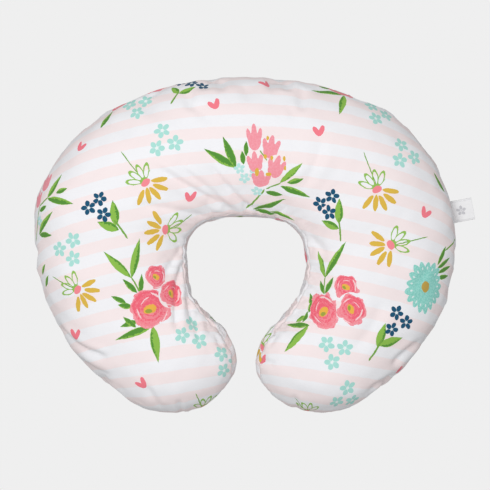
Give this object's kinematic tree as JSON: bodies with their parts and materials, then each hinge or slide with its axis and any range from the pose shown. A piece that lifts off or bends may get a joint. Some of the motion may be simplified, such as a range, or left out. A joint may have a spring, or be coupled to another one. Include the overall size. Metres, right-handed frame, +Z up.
{
  "type": "nursing pillow",
  "caption": "C-shaped fibre-filled nursing pillow in a zipped two-panel slipcover, with an inner casing, a zip slider and pull that move, and a ribbon label on its side seam.",
  "frame": {"origin": "under the middle of the back of the C, on the surface that the pillow lies on", "axes": "+Z up, +X towards the side with the label, +Y away from the opening of the C"},
  "size_m": [0.5496, 0.4158, 0.1446],
  "materials": {
    "printed_cotton": "matte",
    "seam_thread": "satin",
    "zip_tape": "matte",
    "zip_coil": "satin",
    "zip_metal": "satin",
    "label_ribbon": "satin",
    "casing_cotton": "matte",
    "polyester_fibre": "matte"
  },
  "bodies": {
    "pillow": {"cover_upper_panel": "printed_cotton", "cover_lower_panel": "printed_cotton", "cover_outer_seam": "seam_thread", "cover_hole_seam": "seam_thread", "zip_tape_upper": "zip_tape", "zip_tape_lower": "zip_tape", "zip_coil_upper": "zip_coil", "zip_coil_lower": "zip_coil", "zip_top_stops": "zip_metal", "zip_bottom_stop": "zip_metal", "cover_care_label": "label_ribbon", "casing_upper_panel": "casing_cotton", "casing_lower_panel": "casing_cotton", "casing_seam": "seam_thread", "casing_label": "label_ribbon", "fibre_fill": "polyester_fibre"},
    "slider": {"zip_slider": "zip_metal"},
    "pull": {"zip_pull": "zip_metal"},
    "label": {"side_label": "label_ribbon"}
  },
  "joints": [
    {"name": "zip_travel", "type": "hinge", "parent": "pillow", "child": "slider", "pos_m": [0, -0.2845, 0.053], "axis": [0, 0, 1], "range_deg": [0, 40.6]},
    {"name": "pull_flip", "type": "hinge", "parent": "slider", "child": "pull", "pos_m": [0.12963, 0.06594, 0.05292], "axis": [0.062, 0.1677, 0.9839], "range_deg": [-170, 0]},
    {"name": "label_flap", "type": "hinge", "parent": "pillow", "child": "label", "pos_m": [0.25531, -0.08143, 0.05009], "axis": [0.1874, -0.9823, 0], "range_deg": [-65, 65], "stiffness_Nm_per_rad": 0.002}
  ]
}
